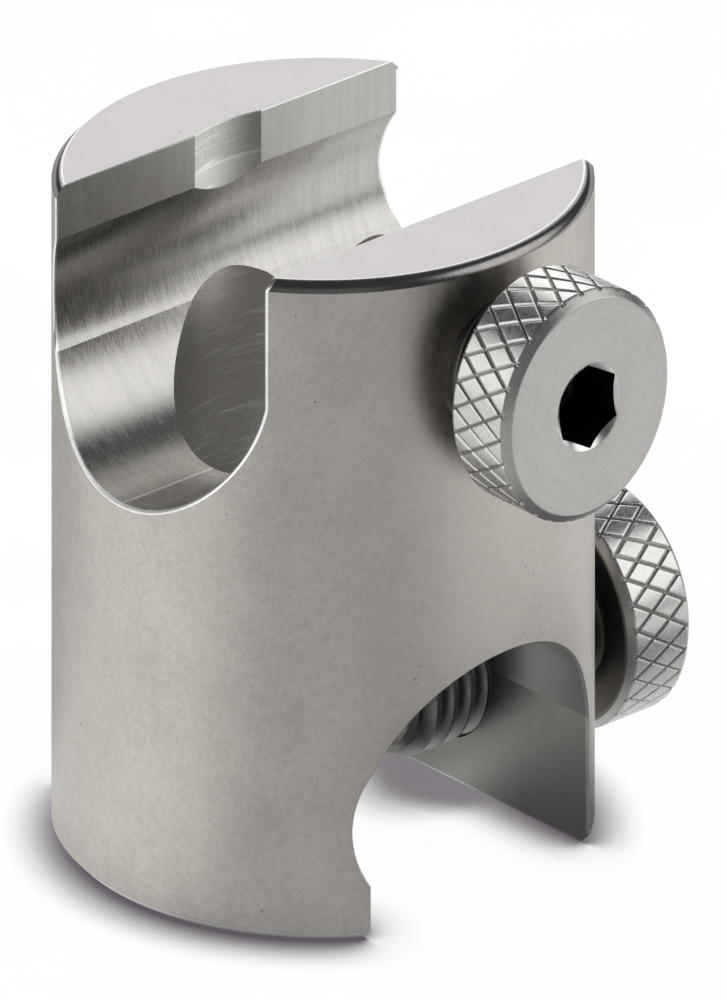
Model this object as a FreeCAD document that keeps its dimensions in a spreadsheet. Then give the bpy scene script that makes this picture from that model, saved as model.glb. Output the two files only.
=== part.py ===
"""Cross clamp block for round support rods: a turned and milled block and its two knurled clamping screws.

The origin is the middle of the block, on the axis of its vertical rod bore. +Z points up. The upper channel runs
along Y and is clamped along X. The lower channel is the upper one turned half a turn about the diagonal between
X and Y, so it runs along X and is clamped along Y. Lengths are in millimetres and angles in degrees.
"""

import FreeCAD, Part
import math
import os

import Sketcher

# Driving dimensions: alias, value and what it is
SIZES = [
    ("block_diameter", 30.0, "outer diameter of the block"),
    ("block_height", 36.0, "height of the block"),
    ("rim_chamfer", 0.55, "chamfer of the top and bottom rims"),
    ("edge_break", 0.1, "chamfer where a channel leaves the outer wall"),
    ("slot_width", 16.6, "width of a channel's mouth"),
    ("slot_offset", 0.425, "how far a channel's middle lies from the bore's axis, towards its screw"),
    ("lip_depth", 2.9, "depth of the straight lip above the hook"),
    ("hook_radius", 5.65, "radius of the undercut hook below the lip"),
    ("ridge_depth", 9.0, "depth of the ridge between hook and cradle"),
    ("ridge_stand", 0.1, "how far the ridge stands in from the lip"),
    ("cradle_radius", 8.7, "radius of the cradle that the rod lies in"),
    ("cradle_depth", 14.15, "depth of the cradle's bottom below the end face"),
    ("bore_diameter", 16.5, "vertical rod bore"),
    ("screw_depth", 6.2, "depth of a screw's axis below its end face"),
    ("thread_diameter", 8.0, "outer diameter of the screw's thread"),
    ("thread_clearance", 0.05, "radial running clearance of the screw in its hole"),
    ("shank_length", 13.65, "screw length from the tip to the back of the head"),
    ("tip_chamfer", 0.9, "chamfer at the screw's tip"),
    ("head_diameter", 12.4, "outer diameter of the knurled head"),
    ("head_length", 4.75, "length of the knurled head"),
    ("head_chamfer", 0.45, "chamfer at both ends of the head"),
    ("socket_flats", 4.0, "hexagon socket, across its flats"),
    ("socket_depth", 3.6, "depth of the hexagon socket"),
    ("countersink_diameter", 4.7, "countersink at the mouth of the socket"),
    ("knurl_count", 28.0, "knurl grooves of each hand round the head"),
    ("knurl_angle", 30.0, "angle between a knurl groove and the screw's axis"),
    ("knurl_depth", 0.12, "depth of the knurl grooves"),
    ("upper_tip_reach", 3.4, "distance of the upper screw's tip from the bore's axis"),
    ("lower_tip_reach", 3.75, "distance of the lower screw's tip from the bore's axis"),
    ("upper_turn", 2.5, "turn of the upper screw about its own axis"),
    ("lower_turn", 11.0, "turn of the lower screw about its own axis"),
]

OVERRUN = 1.0  # how far a cutter runs past the face that it leaves
NEAR = 0.001  # how close a point counts as lying on a surface
EDGE_SAMPLES = 9  # places along an edge where it is compared with the outer wall
GROOVE_SWEEP = 16.0  # arc of one knurl groove about its cutter's axis
QUARTER_TURN = 90.0
THIRD_TURN = 120.0
HALF_TURN = 180.0
FULL_TURN = 360.0

doc = FreeCAD.newDocument("cross_clamp_block")
sizes = doc.addObject("Spreadsheet::Sheet", "sizes")
for row, (alias, value, note) in enumerate(SIZES, start=1):
    sizes.set("A%d" % row, note)
    sizes.set("B%d" % row, repr(value))
    sizes.setAlias("B%d" % row, alias)
doc.recompute()


def vector(x=0.0, y=0.0, z=0.0):
    return FreeCAD.Vector(x, y, z)


def plane_of(body, role):
    """One of the body's own origin planes or axes."""
    return [item for item in body.Origin.OriginFeatures if item.Role == role][0]


def new_sketch(body, name, role, offset=None):
    """A sketch on one of the body's origin planes."""
    sketch = body.newObject("Sketcher::SketchObject", name)
    sketch.AttachmentSupport = (plane_of(body, role), [""])
    sketch.MapMode = "FlatFace"
    if offset:
        sketch.AttachmentOffset = offset
    return sketch


def bind(sketch, constraint, name, expression):
    """Adds a constraint, names it and binds it to the sheet."""
    index = sketch.addConstraint(constraint)
    sketch.renameConstraint(index, name)
    sketch.setExpression("Constraints.%s" % name, expression)


def place_point(sketch, point, name, across=None, up=None):
    """Ties a sketch point to the origin. Each distance is a side, +1 or -1, and an expression."""
    geometry, end = point
    for kind, distance in (("DistanceX", across), ("DistanceY", up)):
        if distance is None:
            continue
        side, expression = distance
        here = getattr(sketch.getPoint(geometry, end), kind[-1].lower())
        ends = (-1, 1, geometry, end) if side > 0 else (geometry, end, -1, 1)
        bind(sketch, Sketcher.Constraint(kind, *ends, abs(here)), name + kind[-1], expression)


def end_at(sketch, geometry, place):
    """Which end of a sketch curve lies at a place: 1 for its start or 2 for its end."""
    gaps = [sketch.getPoint(geometry, end).distanceToPoint(place) for end in (1, 2)]
    return gaps.index(min(gaps)) + 1


def join(sketch, first, second, place):
    """Makes two curves meet at a place."""
    ends = (first, end_at(sketch, first, place), second, end_at(sketch, second, place))
    sketch.addConstraint(Sketcher.Constraint("Coincident", *ends))


def arc_between(start, end, centre, bulge):
    """An arc from start to end about a centre, through the point at its radius in the bulge's direction."""
    middle = centre + bulge * (start.distanceToPoint(centre) / bulge.Length)
    return Part.Arc(start, middle, end)


def polyline(sketch, places):
    """Lines through the places, closed, with their ends joined."""
    count = len(places)
    for index in range(count):
        sketch.addGeometry(Part.LineSegment(places[index], places[(index + 1) % count]), False)
    for index in range(count):
        sketch.addConstraint(Sketcher.Constraint("Coincident", index, 2, (index + 1) % count, 1))


def square_up(sketch, places):
    """Makes each line that runs along a sketch axis stay along it."""
    for index, start in enumerate(places):
        end = places[(index + 1) % len(places)]
        if start.x == end.x:
            sketch.addConstraint(Sketcher.Constraint("Vertical", index))
        elif start.y == end.y:
            sketch.addConstraint(Sketcher.Constraint("Horizontal", index))


def circle_sketch(body, name, role, diameter, up=None):
    """A circle on an origin plane, centred on the origin or straight above or below it."""
    sketch = new_sketch(body, name, role)
    side = up[0] if up else 0
    centre = vector(0, side * (sizes.block_height / 2 - sizes.screw_depth))
    sketch.addGeometry(Part.Circle(centre, vector(0, 0, 1), sizes.bore_diameter / 2), False)
    if up:
        place_point(sketch, (0, 3), "centre", up=up)
        sketch.addConstraint(Sketcher.Constraint("PointOnObject", 0, 3, -2))
    else:
        sketch.addConstraint(Sketcher.Constraint("Coincident", 0, 3, -1, 1))
    bind(sketch, Sketcher.Constraint("Diameter", 0, sizes.bore_diameter), "diameter", diameter)
    return sketch


def cut(body, sketch, name, length, symmetric=True, reverse=False):
    """A pocket of a stated length, and a check that it cuts something."""
    doc.recompute()
    before = body.Shape.Volume
    pocket = body.newObject("PartDesign::Pocket", name)
    pocket.Profile = sketch
    pocket.SideType = "Symmetric" if symmetric else "One side"
    pocket.Reversed = reverse
    pocket.setExpression("Length", length)
    doc.recompute()
    if not body.Shape.Volume < before:
        raise RuntimeError("%s cuts nothing" % name)
    return pocket


def channel_sketch(body, name, role, offset=None):
    """The channel's section: straight lip, undercut hook, ridge, round cradle and straight wall."""
    sketch = new_sketch(body, name, role, offset)
    top = sizes.block_height / 2
    lip = sizes.slot_offset - sizes.slot_width / 2
    wall = sizes.slot_offset + sizes.slot_width / 2
    mouth_lip = vector(lip, top + OVERRUN)
    mouth_wall = vector(wall, top + OVERRUN)
    lip_foot = vector(lip, top - sizes.lip_depth)
    ridge = vector(lip + sizes.ridge_stand, top - sizes.ridge_depth)
    half_chord = (ridge - lip_foot) * 0.5
    rise = math.sqrt(sizes.hook_radius ** 2 - half_chord.Length ** 2)
    hook_centre = lip_foot + half_chord + vector(rise, 0)
    cradle_centre_up = top - sizes.cradle_depth + sizes.cradle_radius
    ridge_drop = cradle_centre_up - ridge.y
    cradle_centre = vector(ridge.x + math.sqrt(sizes.cradle_radius ** 2 - ridge_drop ** 2), cradle_centre_up)
    wall_drop = math.sqrt(sizes.cradle_radius ** 2 - (wall - cradle_centre.x) ** 2)
    wall_foot = vector(wall, cradle_centre_up - wall_drop)

    sketch.addGeometry(Part.LineSegment(mouth_lip, lip_foot), False)
    sketch.addGeometry(arc_between(lip_foot, ridge, hook_centre, vector(-1, 0)), False)
    sketch.addGeometry(arc_between(ridge, wall_foot, cradle_centre, vector(0, -1)), False)
    sketch.addGeometry(Part.LineSegment(wall_foot, mouth_wall), False)
    sketch.addGeometry(Part.LineSegment(mouth_wall, mouth_lip), False)
    corners = [lip_foot, ridge, wall_foot, mouth_wall, mouth_lip]
    for index, corner in enumerate(corners):
        join(sketch, index, (index + 1) % len(corners), corner)
    sketch.addConstraint(Sketcher.Constraint("Vertical", 0))
    sketch.addConstraint(Sketcher.Constraint("Vertical", 3))
    sketch.addConstraint(Sketcher.Constraint("Horizontal", 4))

    half = "sizes.block_height / 2"
    lip_side = "sizes.slot_width / 2 - sizes.slot_offset"
    place_point(sketch, (0, 2), "lip_foot", (-1, lip_side), (1, half + " - sizes.lip_depth"))
    ridge_point = (1, end_at(sketch, 1, ridge))
    ridge_side = lip_side + " - sizes.ridge_stand"
    place_point(sketch, ridge_point, "ridge", (-1, ridge_side), (1, half + " - sizes.ridge_depth"))
    place_point(
        sketch,
        (3, 2),
        "mouth",
        (1, "sizes.slot_width / 2 + sizes.slot_offset"),
        (1, half + " + %g" % OVERRUN),
    )
    bind(sketch, Sketcher.Constraint("Radius", 1, sizes.hook_radius), "hook", "sizes.hook_radius")
    bind(sketch, Sketcher.Constraint("Radius", 2, sizes.cradle_radius), "cradle", "sizes.cradle_radius")
    centre_up = half + " - sizes.cradle_depth + sizes.cradle_radius"
    place_point(sketch, (2, 3), "cradle_centre", up=(1, centre_up))
    return sketch


def edges_on_wall(shape):
    """The edges where a channel leaves the outer wall, between the rims."""
    wall = sizes.block_diameter / 2
    names = []
    for index, edge in enumerate(shape.Edges, start=1):
        places = edge.discretize(EDGE_SAMPLES)
        on_wall = all(abs(math.hypot(place.x, place.y) - wall) < NEAR for place in places)
        rise = max(place.z for place in places) - min(place.z for place in places)
        between_faces = len(shape.ancestorsOfType(edge, Part.Face)) == 2
        in_a_rim = rise < sizes.rim_chamfer and not isinstance(edge.Curve, Part.Line)
        if on_wall and between_faces and not in_a_rim:
            names.append("Edge%d" % index)
    return names


def build_block():
    """The block: a turned blank with two crossing channels, a vertical bore and two screw holes."""
    body = doc.addObject("PartDesign::Body", "clamp_block")
    body.Label = "clamp_block"

    blank_sketch = circle_sketch(body, "blank_sketch", "XY_Plane", "sizes.block_diameter")
    blank = body.newObject("PartDesign::Pad", "blank")
    blank.Profile = blank_sketch
    blank.SideType = "Symmetric"
    blank.setExpression("Length", "sizes.block_height")
    doc.recompute()

    rims = [
        "Edge%d" % index
        for index, edge in enumerate(blank.Shape.Edges, start=1)
        if isinstance(edge.Curve, Part.Circle)
    ]
    chamfered = body.newObject("PartDesign::Chamfer", "rim_chamfers")
    chamfered.Base = (blank, rims)
    chamfered.setExpression("Size", "sizes.rim_chamfer")
    doc.recompute()

    bore_sketch = circle_sketch(body, "rod_bore_sketch", "XY_Plane", "sizes.bore_diameter")
    cut(body, bore_sketch, "rod_bore", "sizes.block_height + %g" % (2 * OVERRUN))

    through = "sizes.block_diameter + %g" % (2 * OVERRUN)
    turned_over = FreeCAD.Placement(vector(), FreeCAD.Rotation(vector(1, 0, 0), HALF_TURN))
    cut(body, channel_sketch(body, "upper_channel_sketch", "XZ_Plane"), "upper_channel", through)
    cut(body, channel_sketch(body, "lower_channel_sketch", "YZ_Plane", turned_over), "lower_channel", through)

    milled = body.Tip
    broken = body.newObject("PartDesign::Chamfer", "broken_edges")
    broken.Base = (milled, edges_on_wall(milled.Shape))
    broken.setExpression("Size", "sizes.edge_break")
    doc.recompute()

    # Each tapped hole is shown at the thread's outer diameter plus a running clearance.
    hole = "sizes.thread_diameter + 2 * sizes.thread_clearance"
    level = "sizes.block_height / 2 - sizes.screw_depth"
    reach = "sizes.block_diameter / 2 + %g" % OVERRUN
    upper_hole = circle_sketch(body, "upper_hole_sketch", "YZ_Plane", hole, (1, level))
    cut(body, upper_hole, "upper_screw_hole", reach, symmetric=False, reverse=True)
    lower_hole = circle_sketch(body, "lower_hole_sketch", "XZ_Plane", hole, (-1, level))
    cut(body, lower_hole, "lower_screw_hole", reach, symmetric=False, reverse=False)
    return body


def screw_profile(body):
    """Half the screw's section: chamfered tip, shank, chamfered head and countersink, on the screw's axis."""
    sketch = new_sketch(body, "turned_sketch", "XZ_Plane")
    shank = sizes.thread_diameter / 2
    head = sizes.head_diameter / 2
    sink = sizes.countersink_diameter / 2
    back = sizes.shank_length
    face = sizes.shank_length + sizes.head_length
    tip, chamfer = sizes.tip_chamfer, sizes.head_chamfer
    places = [
        vector(0, 0),
        vector(shank - tip, 0),
        vector(shank, tip),
        vector(shank, back),
        vector(head - chamfer, back),
        vector(head, back + chamfer),
        vector(head, face - chamfer),
        vector(head - chamfer, face),
        vector(sink, face),
        vector(0, face - sink),
    ]
    polyline(sketch, places)
    square_up(sketch, places)
    sketch.addConstraint(Sketcher.Constraint("Coincident", 0, 1, -1, 1))

    shank_side = "sizes.thread_diameter / 2"
    head_side = "sizes.head_diameter / 2"
    face_up = "sizes.shank_length + sizes.head_length"
    sink_side = "sizes.countersink_diameter / 2"
    place_point(sketch, (1, 1), "tip_flat", across=(1, shank_side + " - sizes.tip_chamfer"))
    place_point(sketch, (2, 1), "shank", (1, shank_side), (1, "sizes.tip_chamfer"))
    place_point(sketch, (4, 1), "back", (1, head_side + " - sizes.head_chamfer"), (1, "sizes.shank_length"))
    place_point(sketch, (5, 1), "knurl_back", (1, head_side), (1, "sizes.shank_length + sizes.head_chamfer"))
    place_point(sketch, (7, 1), "face_edge", (1, head_side + " - sizes.head_chamfer"), (1, face_up))
    place_point(sketch, (6, 1), "knurl_front", up=(1, face_up + " - sizes.head_chamfer"))
    place_point(sketch, (8, 1), "sink_mouth", across=(1, sink_side))
    place_point(sketch, (9, 1), "sink_point", up=(1, face_up + " - " + sink_side))
    return sketch


def socket_sketch(body):
    """A regular hexagon on the head's face, with two of its corners on the sketch's Y axis."""
    sketch = new_sketch(body, "socket_sketch", "XY_Plane")
    sketch.setExpression(".AttachmentOffset.Base.z", "sizes.shank_length + sizes.head_length")
    sides = 6
    corner = sizes.socket_flats / math.sqrt(3)
    angles = [math.radians(FULL_TURN * (index + 0.5) / sides) for index in range(sides)]
    polyline(sketch, [vector(corner * math.cos(angle), corner * math.sin(angle)) for angle in angles])
    guide = sketch.addGeometry(Part.Circle(vector(), vector(0, 0, 1), corner), True)
    sketch.addConstraint(Sketcher.Constraint("Coincident", guide, 3, -1, 1))
    for index in range(sides):
        sketch.addConstraint(Sketcher.Constraint("PointOnObject", index, 1, guide))
    for index in range(1, sides):
        sketch.addConstraint(Sketcher.Constraint("Equal", 0, index))
    sketch.addConstraint(Sketcher.Constraint("Vertical", sides - 1))
    bind(sketch, Sketcher.Constraint("Radius", guide, corner), "corner", "sizes.socket_flats / sqrt(3)")
    return sketch


def groove_sketch(body, name, hand):
    """The V of one knurl groove, on a plane square to the groove.

    The groove follows the head's surface, so its cutter turns about an axis that lies at the radius of curvature of
    the slanting line on that surface: the head's radius over the square of the sine of the knurl's angle.
    """
    lean = FreeCAD.Rotation(vector(1, 0, 0), QUARTER_TURN - sizes.knurl_angle)
    sketch = new_sketch(body, name, "XZ_Plane", FreeCAD.Placement(vector(), lean))
    bend = "(sizes.head_diameter / 2 / sin(sizes.knurl_angle * 1 deg)^2)"
    sketch.setExpression(".AttachmentOffset.Base.x", "sizes.head_diameter / 2 - " + bend)
    row = "(pi * sizes.head_diameter / sizes.knurl_count / 2 / tan(sizes.knurl_angle * 1 deg))"
    middle = "sizes.shank_length + sizes.head_length / 2 - %s / 2" % row
    sketch.setExpression(".AttachmentOffset.Base.y", middle)
    sketch.setExpression(".AttachmentOffset.Rotation.Angle", "%d * (90 deg - sizes.knurl_angle * 1 deg)" % hand)
    doc.recompute()

    radius = sizes.head_diameter / 2 / math.sin(math.radians(sizes.knurl_angle)) ** 2
    root = vector(radius - sizes.knurl_depth, 0)
    reach = 2 * sizes.knurl_depth
    places = [root, vector(root.x + reach, reach), vector(root.x + reach, -reach)]
    polyline(sketch, places)
    sketch.addConstraint(Sketcher.Constraint("PointOnObject", 0, 1, -1))
    sketch.addConstraint(Sketcher.Constraint("Vertical", 1))
    sketch.addConstraint(Sketcher.Constraint("Perpendicular", 0, 2))
    sketch.addConstraint(Sketcher.Constraint("Equal", 0, 2))
    place_point(sketch, (0, 1), "root", across=(1, bend + " - sizes.knurl_depth"))
    place_point(sketch, (1, 1), "outside", across=(1, bend + " + sizes.knurl_depth"))
    return sketch


def knurl(body, name, hand):
    """All the grooves of one hand: one groove and its pattern round the axis."""
    sketch = groove_sketch(body, name + "_sketch", hand)
    before = body.Shape.Volume
    groove = body.newObject("PartDesign::Groove", name + "_groove")
    groove.Profile = sketch
    groove.ReferenceAxis = (sketch, ["V_Axis"])
    groove.Midplane = True
    groove.Angle = GROOVE_SWEEP
    doc.recompute()
    pattern = body.newObject("PartDesign::PolarPattern", name)
    pattern.Originals = [groove]
    pattern.Axis = (plane_of(body, "Z_Axis"), [""])
    pattern.Angle = FULL_TURN
    pattern.setExpression("Occurrences", "sizes.knurl_count")
    body.Tip = pattern
    doc.recompute()
    if not body.Shape.Volume < before:
        raise RuntimeError("%s cuts nothing" % name)


def build_screw(name):
    """A clamping screw on its own +Z axis: tip at the origin, knurled head at the far end."""
    body = doc.addObject("PartDesign::Body", name)
    body.Label = name
    turned = body.newObject("PartDesign::Revolution", name + "_turned")
    turned.Profile = screw_profile(body)
    turned.ReferenceAxis = (turned.Profile[0], ["V_Axis"])
    turned.Angle = FULL_TURN
    doc.recompute()
    knurl(body, name + "_right_knurl", 1)
    knurl(body, name + "_left_knurl", -1)
    cut(body, socket_sketch(body), name + "_socket", "sizes.socket_depth", symmetric=False)
    return body


def set_in_place(body, lay, turn, **base):
    """Turns a screw about its own axis, lays it down, and ties its tip's place to the sheet."""
    body.Placement = FreeCAD.Placement(vector(), lay * FreeCAD.Rotation(vector(0, 0, 1), turn))
    for axis, expression in base.items():
        body.setExpression(".Placement.Base.%s" % axis, expression)


def export(bodies):
    """Checks every object and writes each body to its own STEP file."""
    doc.recompute()
    for item in doc.Objects:
        if {"Invalid", "Error"} & set(item.State):
            raise RuntimeError("%s is %s" % (item.Name, item.State))
    os.makedirs("parts", exist_ok=True)
    for body in bodies:
        if body.Shape.isNull() or not body.Shape.isValid() or len(body.Shape.Solids) != 1:
            raise RuntimeError("%s is not one valid solid" % body.Label)
        body.Shape.exportStep("parts/%s.step" % body.Label)
        print("%s %.1f mm3, %d faces" % (body.Label, body.Shape.Volume, len(body.Shape.Faces)))


def main():
    block = build_block()

    # A third of a turn about the diagonal of all three axes lays a screw along +X. The lower screw goes on to turn
    # over with its half of the block, about the diagonal between X and Y, which lays it along +Y.
    along_x = FreeCAD.Rotation(vector(1, 1, 1), THIRD_TURN)
    along_y = FreeCAD.Rotation(vector(1, 1, 0), HALF_TURN) * along_x
    level = "(sizes.block_height / 2 - sizes.screw_depth)"

    upper = build_screw("upper_clamp_screw")
    set_in_place(upper, along_x, sizes.upper_turn, x="sizes.upper_tip_reach", z=level)
    lower = build_screw("lower_clamp_screw")
    set_in_place(lower, along_y, sizes.lower_turn, y="sizes.lower_tip_reach", z="-" + level)

    export([block, upper, lower])


main()
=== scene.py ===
"""Looks of the cross clamp block: its steel finishes, its detailed screws, the stage and the camera."""

import math
from types import SimpleNamespace

import bmesh
import bpy
from bpy.props import FloatProperty, FloatVectorProperty, IntProperty, PointerProperty
from mathutils import Matrix, Vector


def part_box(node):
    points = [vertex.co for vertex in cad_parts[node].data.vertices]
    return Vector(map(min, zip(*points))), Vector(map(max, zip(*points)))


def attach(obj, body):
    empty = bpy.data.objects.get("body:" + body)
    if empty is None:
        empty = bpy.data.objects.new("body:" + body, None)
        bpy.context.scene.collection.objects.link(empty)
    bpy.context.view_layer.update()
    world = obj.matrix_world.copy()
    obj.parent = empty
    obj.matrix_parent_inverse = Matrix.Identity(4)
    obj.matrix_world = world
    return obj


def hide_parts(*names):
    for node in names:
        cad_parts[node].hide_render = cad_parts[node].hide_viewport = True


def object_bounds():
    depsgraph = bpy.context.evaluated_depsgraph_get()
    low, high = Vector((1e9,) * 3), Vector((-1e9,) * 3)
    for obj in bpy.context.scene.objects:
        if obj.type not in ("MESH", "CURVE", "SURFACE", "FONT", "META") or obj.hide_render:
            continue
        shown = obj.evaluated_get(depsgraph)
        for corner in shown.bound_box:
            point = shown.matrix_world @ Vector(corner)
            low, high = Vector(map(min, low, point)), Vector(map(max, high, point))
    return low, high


bl_info = {
    "name": "Cross clamp block",
    "version": (1, 0, 0),
    "blender": (4, 5, 0),
    "location": "3D View > Sidebar > Clamp",
    "description": "Dresses a cross clamp for round rods and sets its studio stage",
    "category": "Object",
}

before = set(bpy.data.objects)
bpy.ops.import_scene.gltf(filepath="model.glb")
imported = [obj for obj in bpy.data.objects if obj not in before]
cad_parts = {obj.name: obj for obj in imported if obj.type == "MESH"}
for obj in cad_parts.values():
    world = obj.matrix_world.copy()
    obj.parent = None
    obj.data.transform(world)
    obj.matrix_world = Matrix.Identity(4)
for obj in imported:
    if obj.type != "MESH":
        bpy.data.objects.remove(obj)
CAD_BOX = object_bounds()
MM = 0.001

UPPER_TIP, UPPER_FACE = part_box("upper_clamp_screw")
LOWER_TIP, LOWER_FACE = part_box("lower_clamp_screw")
HEAD_RADIUS = (UPPER_FACE.y - UPPER_TIP.y) / 2
SCREW_LENGTH = UPPER_FACE.x - UPPER_TIP.x
SCREW_LEVEL = (UPPER_FACE.z + UPPER_TIP.z) / 2
BLOCK_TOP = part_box("clamp_block")[1].z

# Counts in the screws' meshes, and their material slots
SOCKET_SIDES = 6
KNURL_STEPS = 30
THREAD_COLUMNS = 96
THREAD_ROWS = 14
KNURL, TURNED, THREAD, SOCKET = range(4)

# Rings that round the head's edges: how far in from the edge and along the screw they lie, in edge roundings
ROUNDING = ((3.0, 0.0), (1.0, 0.0), (0.3, 0.2))

# How much the grooves' V is softened, and the shares of half a pitch that the thread's crest and its flank take
SOFTNESS = 0.45
THREAD_CREST = 0.14
THREAD_FLANK = 0.62

# Share of the thread's radius where the head's back starts, and the countersink's fall for its width
NECK_SHARE = 0.9
COUNTERSINK_FALL = 0.6

WELD_DISTANCE = 0.002 * MM
SHARP_ANGLE = math.radians(38)

# Where most of a noise lies: the light grain, the cutter lines, and the wide bands among them
MOTTLE = (0.36, 0.64)
LINES = (0.3, 0.7)
BANDS = (0.35, 0.65)

# Depth of the steel's relief, and the share of a soft line's half width that is at full strength
RELIEF = 0.004 * MM
LINE_CORE = 0.4

# The cradle's centre in a channel's section, its radius, and the wall on the screw's side with its foot
CRADLE_ACROSS = 0.168 * MM
CRADLE_UP = 12.55 * MM
CRADLE_RADIUS = 8.7 * MM
WALL_ACROSS = 8.725 * MM
WALL_FOOT = 10.98 * MM

# Radii: the bore's wall lies within the first, the rims and the outer wall beyond the second, and only the outer wall
# and the edges broken into it beyond the third. The line where a rim meets its end face is the fourth.
BORE_LIMIT = 8.3 * MM
OUTER_LIMIT = 14.4 * MM
WALL_LIMIT = 14.8 * MM
RIM_LINE = 14.42 * MM

# Radius times the share in which a surface faces away from the axis: the bore's is under the first, the outer wall's
# over the second and a rim's over the third. Where a wall's is under the last, its edge is broken.
BORE_OUTWARD = -8.0 * MM
OUTER_OUTWARD = 6.0 * MM
RIM_OUTWARD = 5.0 * MM
WALL_OUTWARD = 14.2 * MM

# Depths below the top face, and likewise above the foot: of the end faces, the rims, the lip's edge and the lip
END_DEPTH = 0.5 * MM
RIM_DEPTH = 0.6 * MM
LIP_EDGE_DEPTH = 0.09 * MM
LIP_DEPTH = 2.9 * MM

# Levels in a channel: of the cradle's floor, of the notch that the bore cuts in the lip, and of the notch's paler foot
FLOOR_LEVEL = 6.0 * MM
NOTCH_LEVEL = 12.0 * MM
FOOT_LEVEL = 15.8 * MM

# Places across a channel: of the notch's mouth, of the seam in the cradle, and where the far wall starts and is full
NOTCH_ACROSS = -6.0 * MM
SEAM_ACROSS = 0.1 * MM
FAR_WALL = (5.0 * MM, 8.4 * MM)

# The broken edge round the upper channel's mouth: its width, where its bend fades, and the bend's height in reliefs
MOUTH_WIDTH = 0.2 * MM
BEND_END = 0.08 * MM
BEND = 18.0

# Directions of the floor's bright sides and of its close dark patch, which the steel sees as painted reflection, in
# degrees from the camera
LEFT_SIDE = -74
RIGHT_SIDE = 92
CLOSE_PATCH = 62

# Where the floor's shadow fades in front of the clamp, where it fades under the arch, and where the dark patch ends
SHADOW_FADE = (13.8 * MM, 18.0 * MM)
ARCH_FADE = (9.0 * MM, 13.0 * MM)
CLOSE_FADE = (32.0 * MM, 50.0 * MM)

FLOOR_RADIUS = 1.5
FLOOR_GAP = 0.02 * MM

# Where the middle of the picture looks: how far to the right of the block's top centre, and how far below it
AIM_RIGHT = 2.232 * MM
AIM_DOWN = 18.35 * MM

# The camera's turn on its stand, whose stretched and squeezed axes lie halfway between the camera's
STAND_TURN = math.radians(45)
NEAR_CLIP = 0.1
FAR_CLIP = 20.0


def length(name, millimetres, description):
    """A length property that is written in millimetres and kept in metres."""
    return FloatProperty(
        name=name, description=description, default=millimetres * MM, min=0.0, unit="LENGTH", precision=5
    )


def angle(name, degrees, description):
    """An angle property that is written in degrees."""
    return FloatProperty(
        name=name, description=description, default=math.radians(degrees), subtype="ANGLE", unit="ROTATION"
    )


def colour(name, shade, description):
    """A colour property, in linear light."""
    return FloatVectorProperty(
        name=name, description=description, default=shade, size=3, min=0.0, max=1.0, subtype="COLOR"
    )


def share(name, value, description):
    """A plain number property."""
    return FloatProperty(name=name, description=description, default=value, min=0.0)


class ClampScrewSizes(bpy.types.PropertyGroup):
    """Sizes of a clamping screw that its box in model.glb doesn't give."""

    head_length: length("Head length", 4.75, "Length of the knurled head along the screw")
    head_chamfer: length("Head chamfer", 0.45, "Chamfer at both ends of the head")
    edge_round: length("Edge rounding", 0.06, "Rounding that leaves no edge of the head perfectly sharp")
    thread_radius: length("Thread radius", 4.0, "Radius of the thread's crest")
    thread_pitch: length("Thread pitch", 1.25, "Advance of the thread in one turn")
    thread_depth: length("Thread depth", 0.68, "Depth of the thread from crest to root")
    tip_chamfer: length("Tip chamfer", 0.9, "Chamfer at the tip")
    knurl_count: IntProperty(
        name="Knurl count", description="Grooves of each hand round the head", default=28, min=8, max=60
    )
    knurl_angle: angle("Knurl angle", 30.0, "Angle between a groove and the screw's axis")
    knurl_depth: length("Knurl depth", 0.12, "Depth of the grooves")
    socket_flats: length("Socket", 4.0, "Hexagon socket across its flats")
    socket_depth: length("Socket depth", 3.6, "Depth of the socket below the face")
    countersink: length("Countersink", 2.35, "Radius of the countersink at the socket's mouth")
    upper_turn: angle("Upper turn", 2.5, "Turn of the upper screw about its own axis")
    lower_turn: angle("Lower turn", 11.0, "Turn of the lower screw about its own axis")


class ClampFinish(bpy.types.PropertyGroup):
    """Colours of the steel."""

    steel: colour("Steel", (0.56, 0.53, 0.49), "Satin outside of the block")
    faced: colour("Faced steel", (0.5, 0.482, 0.476), "End faces of the block")
    milled: colour("Milled steel", (0.52, 0.505, 0.48), "Walls of the channels")
    bored: colour("Bored steel", (0.62, 0.6, 0.565), "Wall of the vertical bore")
    # Also painted as highlights: along the block's edges and lines, and in the screws' countersinks.
    bright: colour("Bright steel", (0.95, 0.94, 0.92), "Broken edges and fresh scratches")
    turned: colour("Turned steel", (0.49, 0.475, 0.455), "Turned faces of the screws")
    knurled: colour("Knurled steel", (0.64, 0.63, 0.61), "Knurled rims of the screws")
    # Specks, and also painted shade on the upper rims, on the far walls of the channels and on the channel floor right
    # of the seam.
    specks_and_shade: colour("Specks", (0.16, 0.15, 0.14), "Small dark specks in the finish")
    # Painted shade: darkens the knurl's groove floors, the thread and its roots, the head's back face and the thread
    # near it and at its tip, and makes lighter bands in the socket's painted shade.
    painted_shade: colour("Grooves", (0.12, 0.11, 0.1), "Dull floor of the knurl and the thread")
    # Painted shade: the inside of the sockets is painted near black.
    socket_shade: colour("Socket", (0.03, 0.027, 0.025), "Dark inside of the sockets")


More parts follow.
